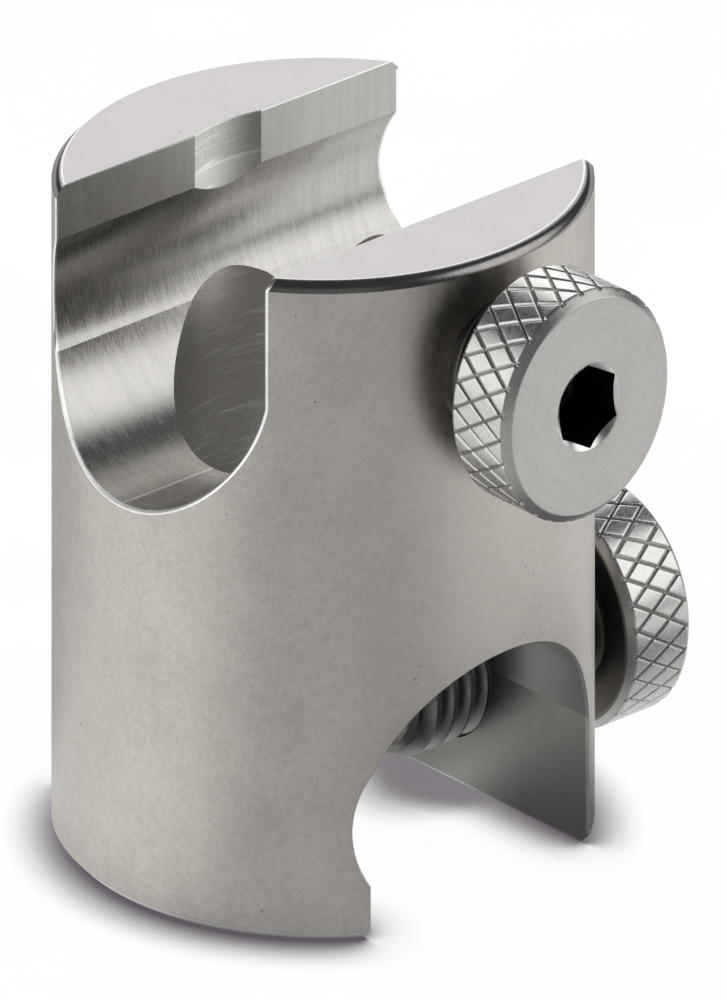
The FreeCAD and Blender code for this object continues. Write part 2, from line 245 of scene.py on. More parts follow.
class ClampStage(bpy.types.PropertyGroup):
    """Camera, floor and lights."""

    azimuth: angle("Azimuth", 48.0, "Direction that the camera looks from, turned from the front towards the right")
    elevation: angle("Elevation", 23.57, "Height of the camera above the horizon, seen from the middle of the view")
    distance: length("Distance", 1871.0, "Distance from the camera to the top of the block")
    lens: FloatProperty(name="Lens", description="Focal length", default=1220.0, min=1.0, unit="CAMERA")
    floor: colour("Floor", (1.0, 1.0, 1.0), "Pale floor")
    shadow: colour("Shadow", (0.12, 0.1, 0.12), "Colour of the floor where something stands on it")
    shadow_reach: length("Shadow reach", 4.2, "How far a thing shades the floor round it")
    glow: FloatProperty(
        name="Floor glow", description="Share of the floor's brightness that is its own", default=0.98, min=0.0, max=1.0
    )
    floor_dim: share("Floor dimming", 0.4, "How much darker the steel sees the floor between the two panels")
    close_dim: share("Close dimming", 0.8, "How much darker it sees the floor close by, in front on the right")
    base: share("Dim light", 0.09, "Strength of the dim studio between the panels")
    left: share("Left panel", 1.3, "Strength of the soft panel on the camera's left")
    right: share("Right panel", 1.42, "Strength of the soft panel on the camera's right")
    behind: share("Panel behind", 1.6, "Strength of the soft panel behind the clamp")
    front: share("Front panel", 0.16, "Strength of the soft panel on the camera's side, which the back views show")


def node(tree, kind, inputs=None, **settings):
    """A shader node with its settings, and its inputs set or linked by name or by place."""
    made = tree.nodes.new(kind)
    for name, value in settings.items():
        setattr(made, name, value)
    for key, value in (inputs or {}).items():
        if isinstance(value, bpy.types.NodeSocket):
            tree.links.new(value, made.inputs[key])
        else:
            made.inputs[key].default_value = value
    return made


def maths(tree, operation, first, second=0.0, third=0.0):
    """The value that a Math node gives."""
    return node(tree, "ShaderNodeMath", {0: first, 1: second, 2: third}, operation=operation).outputs[0]


def vector_maths(tree, operation, inputs, output=0):
    """What a Vector Math node gives."""
    return node(tree, "ShaderNodeVectorMath", inputs, operation=operation).outputs[output]


def product(tree, *values):
    """The product of some values. Of masks, it is where all of them hold."""
    result = values[0]
    for value in values[1:]:
        result = maths(tree, "MULTIPLY", result, value)
    return result


def highest(tree, *values):
    """The highest of some values. Of masks, it is where any of them holds."""
    result = values[0]
    for value in values[1:]:
        result = maths(tree, "MAXIMUM", result, value)
    return result


def remap(tree, value, low, high, to_low=0.0, to_high=1.0):
    """A value mapped smoothly from one range to another, and kept inside it."""
    inputs = {"Value": value, "From Min": low, "From Max": high, "To Min": to_low, "To Max": to_high}
    return node(tree, "ShaderNodeMapRange", inputs, interpolation_type="SMOOTHSTEP").outputs["Result"]


def blend_colours(tree, factor, first, second):
    """Two colours mixed by a factor."""
    made = node(tree, "ShaderNodeMix", {"Factor": factor}, data_type="RGBA")
    for place, value in (("A", first), ("B", second)):
        socket = [item for item in made.inputs if item.name == place and item.type == "RGBA"][0]
        if isinstance(value, bpy.types.NodeSocket):
            tree.links.new(value, socket)
        else:
            socket.default_value = (*value, 1.0)
    return [item for item in made.outputs if item.type == "RGBA"][0]


def noise(tree, vector, scale, detail, roughness=0.5):
    """A noise value about a half."""
    inputs = {"Vector": vector, "Scale": scale, "Detail": detail, "Roughness": roughness}
    return node(tree, "ShaderNodeTexNoise", inputs).outputs["Fac"]


def stretched(tree, vector, factors):
    """A vector with each part multiplied by its own factor."""
    return vector_maths(tree, "MULTIPLY", {0: vector, 1: factors})


def scaled(tree, shade, factor):
    """A colour made lighter or darker by a factor."""
    return vector_maths(tree, "SCALE", {0: shade, "Scale": factor})


def parts_of(tree, vector):
    """The X, Y and Z of a vector."""
    return node(tree, "ShaderNodeSeparateXYZ", {0: vector}).outputs


def from_axis(tree, parts):
    """Distance from the Z axis."""
    squares = maths(tree, "MULTIPLY_ADD", parts["Y"], parts["Y"], product(tree, parts["X"], parts["X"]))
    return maths(tree, "SQRT", squares)


def new_group(name, inputs, outputs):
    """An empty node group with named inputs and outputs, and its two end nodes."""
    group = bpy.data.node_groups.new(name, "ShaderNodeTree")
    for label, kind in inputs:
        group.interface.new_socket(name=label, in_out="INPUT", socket_type="NodeSocket" + kind)
    for label, kind in outputs:
        group.interface.new_socket(name=label, in_out="OUTPUT", socket_type="NodeSocket" + kind)
    return group, group.nodes.new("NodeGroupInput"), group.nodes.new("NodeGroupOutput")


def steel_grain_group():
    """Mottling, dark specks and fine grain of satin steel. Lengths go in as metres."""
    group, start, end = new_group(
        "steel_grain",
        [("Vector", "Vector"), ("Speck Amount", "Float")],
        [("Mottle", "Float"), ("Specks", "Float"), ("Height", "Float")],
    )
    place = start.outputs["Vector"]
    broad = noise(group, place, 300.0, 3.0, 0.6)
    patches = noise(group, place, 2400.0, 2.0, 0.6)
    fine = noise(group, place, 10000.0, 2.0, 0.6)
    mottle = maths(group, "ADD", product(group, broad, 0.3), product(group, patches, 0.25))
    mottle = maths(group, "ADD", mottle, product(group, fine, 0.45))
    dots = node(group, "ShaderNodeTexVoronoi", {"Vector": place, "Scale": 1300.0, "Randomness": 1.0})
    dot = remap(group, dots.outputs["Distance"], 0.02, 0.16, 0.8, 0.0)
    chosen = above(group, noise(group, place, 700.0, 1.0), 0.66)
    specks = product(group, dot, chosen, start.outputs["Speck Amount"])
    height = maths(group, "ADD", fine, patches)
    for label, value in (("Mottle", mottle), ("Specks", specks), ("Height", height)):
        group.links.new(value, end.inputs[label])
    return group


def tool_marks_group():
    """Fine parallel cutter lines. The vector is already stretched so that they run along one way."""
    group, start, end = new_group(
        "tool_marks", [("Vector", "Vector"), ("Scale", "Float")], [("Lines", "Float"), ("Bands", "Float")]
    )
    place = start.outputs["Vector"]
    scale = start.outputs["Scale"]
    group.links.new(noise(group, place, scale, 3.0, 0.7), end.inputs["Lines"])
    group.links.new(noise(group, place, product(group, scale, 0.22), 1.0), end.inputs["Bands"])
    return group


def use_group(tree, name, maker, inputs):
    """The outputs of a group in a material. The group is built once and used again after that."""
    group = bpy.data.node_groups.get(name) or maker()
    return node(tree, "ShaderNodeGroup", inputs, node_tree=group).outputs


def steel_grain(tree, place, specks):
    """The grain of satin steel, with so large a share of its specks."""
    return use_group(tree, "steel_grain", steel_grain_group, {"Vector": place, "Speck Amount": specks})


def tool_marks(tree, vector, scale):
    """Cutter lines at a scale."""
    return use_group(tree, "tool_marks", tool_marks_group, {"Vector": vector, "Scale": scale})


def new_material(name):
    """A material with a Principled shader of bare metal, its tree and its object coordinates."""
    material = bpy.data.materials.new(name)
    material.use_nodes = True
    tree = material.node_tree
    shader = tree.nodes["Principled BSDF"]
    shader.inputs["Metallic"].default_value = 1.0
    place = node(tree, "ShaderNodeTexCoord").outputs["Object"]
    return material, tree, shader, place


def finish_surface(tree, shader, base, roughness, height, depth):
    """Links colour, roughness and relief to a shader."""
    bump = node(tree, "ShaderNodeBump", {"Height": height, "Distance": depth, "Strength": 1.0})
    tree.links.new(base, shader.inputs["Base Color"])
    tree.links.new(roughness, shader.inputs["Roughness"])
    tree.links.new(bump.outputs["Normal"], shader.inputs["Normal"])


def pick(tree, mask, yes, no):
    """One of two values, by a mask."""
    made = node(tree, "ShaderNodeMix", {"Factor": mask, "A": no, "B": yes}, data_type="FLOAT")
    return made.outputs["Result"]


def above(tree, value, limit):
    """1 where a value is over a limit, and 0 elsewhere."""
    return maths(tree, "GREATER_THAN", value, limit)


def below(tree, value, limit):
    """1 where a value is under a limit, and 0 elsewhere."""
    return maths(tree, "LESS_THAN", value, limit)


def line_at(tree, value, middle, half_width):
    """A soft line about one value: 1 in its core and 0 from its half width on."""
    off = maths(tree, "ABSOLUTE", maths(tree, "SUBTRACT", value, middle))
    return remap(tree, off, half_width * LINE_CORE, half_width, 1.0, 0.0)


def block_regions(tree, place):
    """Measures and masks that tell the block's surfaces apart.

    The upper half is described by X across its channel and Y along it, and the lower half by Y across and X along.
    """
    parts = parts_of(tree, place)
    facing = parts_of(tree, node(tree, "ShaderNodeNewGeometry").outputs["Normal"])
    steep = maths(tree, "ABSOLUTE", facing["Z"])
    radius = from_axis(tree, parts)
    at = SimpleNamespace()
    at.upper = above(tree, parts["Z"], 0.0)
    at.across = pick(tree, at.upper, parts["X"], parts["Y"])
    at.along = pick(tree, at.upper, parts["Y"], parts["X"])
    at.up = maths(tree, "ABSOLUTE", parts["Z"])

    # Of the walls near the axis, only the bore's faces it.
    outward = maths(tree, "MULTIPLY_ADD", parts["Y"], facing["Y"], product(tree, parts["X"], facing["X"]))
    at.bore = product(tree, below(tree, radius, BORE_LIMIT), below(tree, outward, BORE_OUTWARD))
    at.outside = product(tree, above(tree, radius, OUTER_LIMIT), above(tree, outward, OUTER_OUTWARD))
    at.ends = product(tree, above(tree, at.up, BLOCK_TOP - END_DEPTH), above(tree, steep, 0.5))
    at.satin = highest(tree, at.outside, at.ends)
    at.rim = product(tree, above(tree, radius, OUTER_LIMIT), above(tree, at.up, BLOCK_TOP - RIM_DEPTH),
                     above(tree, outward, RIM_OUTWARD), line_at(tree, steep, 0.7, 0.2))

    lip = product(tree, below(tree, at.across, 0.0), above(tree, at.up, BLOCK_TOP - LIP_DEPTH))
    at.far_wall = remap(tree, at.across, *FAR_WALL)
    at.plain = highest(tree, lip, at.far_wall)
    at.floor = product(tree, above(tree, steep, 0.9), below(tree, at.up, FLOOR_LEVEL))
    at.notch = product(tree, at.bore, below(tree, at.across, NOTCH_ACROSS), above(tree, at.up, NOTCH_LEVEL))

    # How far a point lies outside the channel's outline, past its cradle or, higher up, past its straight wall
    from_centre = maths(tree, "SUBTRACT", at.up, CRADLE_UP)
    squares = product(tree, from_centre, from_centre)
    from_centre = maths(tree, "SUBTRACT", at.across, CRADLE_ACROSS)
    squares = maths(tree, "MULTIPLY_ADD", from_centre, from_centre, squares)
    past_cradle = maths(tree, "SUBTRACT", maths(tree, "SQRT", squares), CRADLE_RADIUS)
    past_wall = maths(tree, "SUBTRACT", at.across, WALL_ACROSS)
    at.past_mouth = pick(tree, above(tree, at.up, WALL_FOOT), past_wall, past_cradle)

    # A broken edge lies on the outer wall between the rims and doesn't face straight outwards.
    broken = product(tree, above(tree, radius, WALL_LIMIT), below(tree, outward, WALL_OUTWARD),
                     below(tree, at.up, BLOCK_TOP - RIM_DEPTH))
    mouth = product(tree, at.outside, at.upper, below(tree, at.past_mouth, MOUTH_WIDTH),
                    above(tree, at.past_mouth, 0.0))
    lip_edge = product(tree, above(tree, at.up, BLOCK_TOP - LIP_EDGE_DEPTH), below(tree, steep, 0.5),
                       below(tree, radius, WALL_LIMIT))
    seam = product(tree, at.floor, line_at(tree, at.across, SEAM_ACROSS, 0.09 * MM))
    rim_line = product(tree, at.ends, line_at(tree, radius, RIM_LINE, 0.055 * MM), 0.6)
    # Bright steel is painted along all of these: on the broken edges and the mouth partly as fresh-cut steel and partly
    # as a painted highlight, and on the lip's edge, the seam and the rim line as painted highlight lines.
    at.edges = highest(tree, broken, mouth, lip_edge, seam, rim_line)
    # The painted highlight is dimmer on the lower half.
    at.edges = product(tree, at.edges, pick(tree, at.upper, 1.0, 0.35))
    return at


def satin_colour(tree, finish, at, grain):
    """Colour of the outer wall, the rims and the end faces, with a painted dark reflection on the upper rims."""
    shade = blend_colours(tree, at.ends, finish.steel, finish.faced)
    # Painted dark reflection on the upper rims' chamfers.
    shade = blend_colours(tree, product(tree, at.rim, at.upper, 0.6), shade, finish.specks_and_shade)
    return blend_colours(tree, grain["Specks"], shade, finish.specks_and_shade)


def milled_colour(tree, finish, at, marks):
    """Colour of the channels, a little darker in bands, with painted shade to the right of the seam and on the far
    wall.
    """
    dimming = remap(tree, marks["Bands"], *BANDS, 0.0, 0.1)
    # Painted shade to the right of the seam and on the far wall.
    right_of_seam = product(tree, at.floor, above(tree, at.across, SEAM_ACROSS + 0.05 * MM))
    dimming = maths(tree, "MULTIPLY_ADD", right_of_seam, 0.2, dimming)
    dimming = highest(tree, dimming, product(tree, at.far_wall, 0.55))
    return blend_colours(tree, dimming, finish.milled, finish.specks_and_shade)


def bored_colour(tree, finish, at, scratches, grit):
    """Colour of the bore: bright scratches and grit, and a paler foot in the notch that it cuts in the lip."""
    foot = product(tree, at.notch, below(tree, at.up, FOOT_LEVEL - 0.05 * MM), 0.5)
    foot_line = product(tree, at.notch, line_at(tree, at.up, FOOT_LEVEL, 0.14 * MM))
    return blend_colours(tree, highest(tree, scratches, grit, foot, foot_line), finish.bored, finish.bright)


def block_material(finish):
    """Satin outside, channels with cutter marks across them, a bore with turning rings, and broken edges painted
    bright, partly as fresh-cut steel and partly as painted highlights.
    """
    material, tree, shader, place = new_material("block_steel_look")
    at = block_regions(tree, place)
    grain = steel_grain(tree, place, 1.0)
    section = node(tree, "ShaderNodeCombineXYZ", {"X": at.across, "Y": at.along, "Z": at.up}).outputs[0]
    marks = tool_marks(tree, stretched(tree, section, (0.11, 1.0, 0.11)), 9500.0)
    rings = tool_marks(tree, stretched(tree, place, (0.05, 0.05, 1.0)), 5200.0)
    scratches = product(tree, remap(tree, rings["Lines"], 0.5, 0.66), remap(tree, rings["Bands"], 0.36, 0.56))
    grit = remap(tree, noise(tree, place, 9000.0, 2.0, 0.7), 0.42, 0.7, 0.0, 0.5)

    base = blend_colours(tree, at.satin, milled_colour(tree, finish, at, marks), satin_colour(tree, finish, at, grain))
    base = blend_colours(tree, at.bore, base, bored_colour(tree, finish, at, scratches, grit))
    # Painted highlight: bright steel along the edges and lines.
    base = blend_colours(tree, at.edges, base, finish.bright)
    streaks = pick(tree, at.plain, remap(tree, grain["Mottle"], *MOTTLE, 0.98, 1.16),
                   remap(tree, marks["Lines"], *LINES, 0.9, 1.13))
    shade = pick(tree, at.satin, remap(tree, grain["Mottle"], *MOTTLE, 0.86, 1.1),
                 pick(tree, at.bore, 1.0, streaks))

    calm = highest(tree, at.satin, at.plain)
    rough = pick(tree, calm, remap(tree, grain["Mottle"], *MOTTLE, 0.34, 0.46),
                 remap(tree, marks["Lines"], *LINES, 0.2, 0.3))
    rough = pick(tree, at.rim, 0.2, rough)
    rough = pick(tree, at.bore, maths(tree, "MULTIPLY_ADD", scratches, -0.12, 0.38), rough)
    rough = pick(tree, at.edges, 0.35, rough)

    height = maths(tree, "MULTIPLY_ADD", marks["Lines"], 1.3, product(tree, grain["Height"], 0.5))
    height = pick(tree, calm, grain["Height"], height)
    height = pick(tree, at.bore, maths(tree, "ADD", rings["Lines"], grit), height)

    # Beside the upper channel the broken edge is wider, so the wall bends away there. The rims' chamfers are worn
    # round.
    bend = product(tree, at.outside, at.upper, remap(tree, at.past_mouth, MOUTH_WIDTH, BEND_END, 0.0, BEND))
    from_middle = maths(tree, "SUBTRACT", at.up, BLOCK_TOP - 0.275 * MM)
    wear = product(tree, at.rim, from_middle, from_middle, 1.0 / (RIM_DEPTH * RELIEF))
    height = maths(tree, "SUBTRACT", height, maths(tree, "ADD", bend, wear))
    finish_surface(tree, shader, scaled(tree, base, shade), rough, height, RELIEF)
    return material


def turned_material(finish, sizes):
    """Turned faces of a screw: faint rings about its axis over a light grain, painted shade on the head's back, and a
    painted highlight in the countersink.
    """
    material, tree, shader, place = new_material("turned_steel_look")
    parts = parts_of(tree, place)
    radius = from_axis(tree, parts)
    rings = node(tree, "ShaderNodeCombineXYZ", {"X": radius, "Y": parts["Z"]}).outputs[0]
    marks = tool_marks(tree, rings, 9000.0)
    grain = steel_grain(tree, place, 0.6)
    back = line_at(tree, parts["Z"], SCREW_LENGTH - sizes.head_length, 0.1 * MM)
    sink = product(tree, below(tree, radius, sizes.countersink), below(tree, parts["Z"], SCREW_LENGTH - 0.02 * MM),
                   above(tree, parts["Z"], SCREW_LENGTH - 1.0 * MM))
    # Painted shade on the head's back face, and a painted highlight in the countersink.
    base = blend_colours(tree, product(tree, back, 0.8), finish.turned, finish.painted_shade)
    base = blend_colours(tree, product(tree, sink, 0.5), base, finish.bright)
    base = blend_colours(tree, grain["Specks"], base, finish.specks_and_shade)
    shade = product(tree, remap(tree, marks["Lines"], *LINES, 0.965, 1.03),
                    remap(tree, grain["Mottle"], *MOTTLE, 0.9, 1.08))
    rough = maths(tree, "MULTIPLY_ADD", sink, -0.15, remap(tree, grain["Mottle"], *MOTTLE, 0.32, 0.4))
    height = maths(tree, "MULTIPLY_ADD", marks["Lines"], 0.3, grain["Height"])
    finish_surface(tree, shader, scaled(tree, base, shade), rough, height, 0.003 * MM)
    return material


def groove_depth(tree):
    """The depth that a screw's mesh keeps at each vertex: 0 on a diamond or a crest, and 1 at a groove's floor."""
    return node(tree, "ShaderNodeAttribute", attribute_name="groove_depth").outputs["Fac"]


def knurled_material(finish):
    """Knurled rim: bright worn diamonds, and painted shade on the groove floors."""
    material, tree, shader, place = new_material("knurled_steel_look")
    grain = steel_grain(tree, place, 0.5)
    # Painted shade on the groove floors, by their depth.
    shade_share = remap(tree, groove_depth(tree), 0.35, 0.95, 0.0, 0.75)
    base = blend_colours(tree, shade_share, finish.knurled, finish.painted_shade)
    base = blend_colours(tree, grain["Specks"], base, finish.specks_and_shade)
    shade = remap(tree, grain["Mottle"], *MOTTLE, 0.85, 1.1)
    rough = remap(tree, grain["Mottle"], *MOTTLE, 0.22, 0.34)
    finish_surface(tree, shader, scaled(tree, base, shade), rough, grain["Height"], RELIEF)
    return material


def thread_material(finish, sizes):
    """Thread: lighter crests and painted shade deeper in the roots, with more painted shade at its tip and behind the
    head.
    """
    material, tree, shader, place = new_material("thread_steel_look")
    level = parts_of(tree, place)["Z"]
    grain = steel_grain(tree, place, 0.4)
    back = SCREW_LENGTH - sizes.head_length
    # Painted shade over the whole thread, deepest in the roots.
    shade_share = remap(tree, groove_depth(tree), 0.1, 0.9, 0.45, 0.95)
    base = blend_colours(tree, shade_share, finish.turned, finish.painted_shade)
    # More painted shade behind the head and at the tip.
    shaded_ends = highest(tree, remap(tree, level, back - 2.6 * MM, back - 1.4 * MM),
                     remap(tree, level, 0.6 * MM, 1.4 * MM, 0.7, 0.0))
    base = blend_colours(tree, shaded_ends, base, finish.painted_shade)
    rough = remap(tree, grain["Mottle"], *MOTTLE, 0.26, 0.38)
    finish_surface(tree, shader, base, rough, grain["Height"], RELIEF)
    return material


def socket_material(finish):
    """Broached socket: upright scratches in near-black painted shade."""
    material, tree, shader, place = new_material("socket_steel_look")
    marks = tool_marks(tree, stretched(tree, place, (1.0, 1.0, 0.03)), 6000.0)
    base = blend_colours(tree, remap(tree, marks["Bands"], *BANDS, 0.0, 0.3), finish.socket_shade, finish.painted_shade)
    rough = remap(tree, marks["Lines"], *LINES, 0.4, 0.55)
    finish_surface(tree, shader, base, rough, marks["Lines"], 0.006 * MM)
    return material


def ring_of(mesh, count, place):
    """A closed ring of vertices. The place function takes the turn of each and gives its radius and level."""
    ring = []
    for index in range(count):
        turn = 2 * math.pi * index / count
        radius, level = place(turn)
        ring.append(mesh.verts.new((radius * math.cos(turn), radius * math.sin(turn), level)))
    return ring


def bridge(mesh, lower, upper, slot):
    """Quads between two rings of the same count, with their material slot."""
    count = len(lower)
    for index in range(count):
        after = (index + 1) % count
        face = mesh.faces.new((lower[index], lower[after], upper[after], upper[index]))
        face.material_index = slot
        face.smooth = True


def cap(mesh, ring, level, slot):
    """A fan from a ring to a point on the axis."""
    middle = mesh.verts.new((0.0, 0.0, level))
    count = len(ring)
    for index in range(count):
        face = mesh.faces.new((ring[index], ring[(index + 1) % count], middle))
        face.material_index = slot
        face.smooth = True


def knurl_rows(sizes):
    """Pitch round the rim, tangent of the lean and the level where two grooves cross."""
    around = 2 * math.pi * HEAD_RADIUS / sizes.knurl_count
    lean = math.tan(sizes.knurl_angle)
    return around, lean, SCREW_LENGTH - sizes.head_length / 2 - around / lean / 4


def groove_share(sizes, turn, level):
    """How deep a point of the rim lies in the knurl: 0 on a diamond and 1 on a groove's floor."""
    around, lean, middle = knurl_rows(sizes)
    shift = (level - middle) * lean / around
    phase = turn * sizes.knurl_count / (2 * math.pi)
    deepest = 0.0
    for hand in (-1, 1):
        off = abs((phase + hand * shift + 0.5) % 1.0 - 0.5) * around * math.cos(sizes.knurl_angle)
        deepest = max(deepest, 1.0 - off / sizes.knurl_depth)
    return max(0.0, deepest)


def rim_levels(sizes):
    """Levels of the rim's rows, so spaced that a groove moves on by one column from row to row."""
    around, lean, middle = knurl_rows(sizes)
    low = SCREW_LENGTH - sizes.head_length + sizes.edge_round
    high = SCREW_LENGTH - sizes.edge_round
    step = around / KNURL_STEPS / lean
    first = math.ceil((low - middle) / step + 0.2)
    last = math.floor((high - middle) / step - 0.2)
    return [low, *(middle + step * index for index in range(first, last + 1)), high]


def soften(value):
    """A groove's V with its floor and its upper edges a little rounded."""
    return value * value * (3.0 - 2.0 * value) * SOFTNESS + value * (1.0 - SOFTNESS)


def head_rings(mesh, sizes, depth_layer):
    """The knurled head, from its back face round the rim to the bottom of the socket."""
    count = sizes.knurl_count * KNURL_STEPS
    back = SCREW_LENGTH - sizes.head_length
    inner = HEAD_RADIUS - sizes.head_chamfer
    bend = sizes.edge_round

    rings = []
    slots = []

    def add(radius, level, slot):
        """A plain ring."""
        rings.append(ring_of(mesh, count, lambda turn: (radius, level)))
        slots.append(slot)

    add(sizes.thread_radius * NECK_SHARE, back, TURNED)
    for inwards, onwards in ROUNDING:
        add(inner - bend * inwards, back + bend * onwards, TURNED)

    def rim_place(level):
        """Radius of the rim at a level: the knurl, cut off by the two chamfers."""
        limit = min(HEAD_RADIUS, inner + (level - back), inner + (SCREW_LENGTH - level))

        def place(turn):
            depth = soften(groove_share(sizes, turn, level)) * sizes.knurl_depth
            return min(limit, HEAD_RADIUS - depth), level

        return place

    for level in rim_levels(sizes):
        ring = ring_of(mesh, count, rim_place(level))
        for vertex in ring:
            radius = math.hypot(vertex.co.x, vertex.co.y)
            vertex[depth_layer] = min(1.0, max(0.0, (HEAD_RADIUS - radius) / sizes.knurl_depth))
        in_chamfer = min(level - back, SCREW_LENGTH - level) < sizes.head_chamfer
        rings.append(ring)
        slots.append(TURNED if in_chamfer else KNURL)

    for inwards, onwards in reversed(ROUNDING):
        add(inner - bend * inwards, SCREW_LENGTH - bend * onwards, TURNED)
    add((inner + sizes.countersink) / 2, SCREW_LENGTH, TURNED)
    add(sizes.countersink + bend, SCREW_LENGTH, TURNED)
    mouth_level = SCREW_LENGTH - bend * 0.3
    add(sizes.countersink, mouth_level, TURNED)

    def hexagon(turn):
        """Radius of the socket's wall, with a corner on the screw's Y axis."""
        side = 2 * math.pi / SOCKET_SIDES
        off = (turn - math.pi / 2) % side - side / 2
        return sizes.socket_flats / 2 / math.cos(off)

    floor = SCREW_LENGTH - sizes.socket_depth

    def wall_place(share_of_depth):
        """Places on the socket's wall, from its mouth in the countersink to its floor."""

        def place(turn):
            wall = min(hexagon(turn), sizes.countersink - bend)
            level = mouth_level - (sizes.countersink - wall) * COUNTERSINK_FALL
            return wall, level + (floor - level) * share_of_depth

        return place

    for share_of_depth, slot in ((0.0, TURNED), (0.35, SOCKET), (1.0, SOCKET)):
        rings.append(ring_of(mesh, count, wall_place(share_of_depth)))
        slots.append(slot)
    for lower, upper, slot in zip(rings, rings[1:], slots[1:]):
        bridge(mesh, lower, upper, slot)
    cap(mesh, rings[-1], floor - sizes.socket_flats / 4, SOCKET)


def thread_share(along):
    """Depth of the thread at a place along its pitch, from 0 at the crest to 1 at the root."""
    off = abs((along + 0.5) % 1.0 - 0.5) * 2
    return min(1.0, max(0.0, (off - THREAD_CREST) / THREAD_FLANK))


def shank_rings(mesh, sizes, depth_layer):
    """The threaded shank. Its rows follow the helix, and are cut off at the tip and behind the head."""
    back = SCREW_LENGTH - sizes.head_length + sizes.edge_round
    pitch = sizes.thread_pitch
    turns = int(back / pitch) + 2
    rows = []
    for step in range(-THREAD_ROWS, turns * THREAD_ROWS + 1):
        row = []
        for column in range(THREAD_COLUMNS + 1):
            turn = 2 * math.pi * column / THREAD_COLUMNS
            along = step / THREAD_ROWS
            level = min(max((along + column / THREAD_COLUMNS) * pitch, 0.0), back)
            depth = thread_share(along)
            radius = min(sizes.thread_radius - depth * sizes.thread_depth,
                         sizes.thread_radius - sizes.tip_chamfer + level)
            vertex = mesh.verts.new((radius * math.cos(turn), radius * math.sin(turn), level))
            vertex[depth_layer] = depth
            row.append(vertex)
        rows.append(row)
    for lower, upper in zip(rows, rows[1:]):
        for column in range(THREAD_COLUMNS):
            levels = {lower[column].co.z, lower[column + 1].co.z, upper[column].co.z, upper[column + 1].co.z}
            if len(levels) > 1:
                face = mesh.faces.new((lower[column], lower[column + 1], upper[column + 1], upper[column]))
                face.material_index = THREAD
                face.smooth = True
    tip = sizes.thread_radius - sizes.tip_chamfer
    ring = ring_of(mesh, THREAD_COLUMNS, lambda turn: (tip, 0.0))
    ring.reverse()
    cap(mesh, ring, 0.0, THREAD)


def screw_mesh(name, sizes):
    """The mesh of a clamping screw on its own +Z axis, with its tip at the origin."""
    mesh = bmesh.new()
    depth_layer = mesh.verts.layers.float.new("groove_depth")
    head_rings(mesh, sizes, depth_layer)
    shank_rings(mesh, sizes, depth_layer)
    bmesh.ops.remove_doubles(mesh, verts=mesh.verts, dist=WELD_DISTANCE)
    data = bpy.data.meshes.new(name)
    mesh.to_mesh(data)
    mesh.free()
    data.set_sharp_from_angle(angle=SHARP_ANGLE)
    return data


def screw_materials(finish, sizes):
    """The screws' four materials, in the order of their slots."""
    makers = {
        "knurled_steel_look": lambda: knurled_material(finish),
        "turned_steel_look": lambda: turned_material(finish, sizes),
        "thread_steel_look": lambda: thread_material(finish, sizes),
        "socket_steel_look": lambda: socket_material(finish),
    }
    return [bpy.data.materials.get(name) or maker() for name, maker in makers.items()]


def add_screw(context, name, node_name, body, lay, tip, turn):
    """A detailed screw in the place of its CAD node."""
    sizes = context.scene.clamp_screw_sizes
    data = screw_mesh(name, sizes)
    for material in screw_materials(context.scene.clamp_finish, sizes):
        data.materials.append(material)
    data.transform(Matrix.Rotation(turn, 4, "Z"))
    screw = bpy.data.objects.new(name, data)
    context.scene.collection.objects.link(screw)
    screw.matrix_world = Matrix.Translation(tip) @ lay
    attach(screw, body)
    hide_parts(node_name)


def columns(first, second, third):
    """A turn that takes X, Y and Z to three given directions."""
    return Matrix((first, second, third)).transposed().to_4x4()


class CLAMP_OT_block(bpy.types.Operator):
    """Give the clamp block its satin, milled and bored finishes."""

    bl_idname = "clamp.block"
    bl_label = "Finish the Block"

    def execute(self, context):
        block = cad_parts["clamp_block"]
        look = block_material(context.scene.clamp_finish)
        if not block.material_slots:
            block.data.materials.append(look)
        for place in block.material_slots:
            place.material = look
        return {"FINISHED"}


class CLAMP_OT_screws(bpy.types.Operator):
    """Put both detailed clamping screws in the place of their CAD nodes."""

    bl_idname = "clamp.screws"
    bl_label = "Add the Screws"

    def execute(self, context):
        sizes = context.scene.clamp_screw_sizes
        x_way, y_way, z_way = Vector((1, 0, 0)), Vector((0, 1, 0)), Vector((0, 0, 1))
        upper_tip = Vector((UPPER_TIP.x, 0.0, SCREW_LEVEL))
        add_screw(context, "upper_screw_detail", "upper_clamp_screw", "upper_screw",
                  columns(y_way, z_way, x_way), upper_tip, sizes.upper_turn)
        lower_tip = Vector((0.0, LOWER_TIP.y, -SCREW_LEVEL))
        add_screw(context, "lower_screw_detail", "lower_clamp_screw", "lower_screw",
                  columns(x_way, -z_way, y_way), lower_tip, sizes.lower_turn)
        return {"FINISHED"}


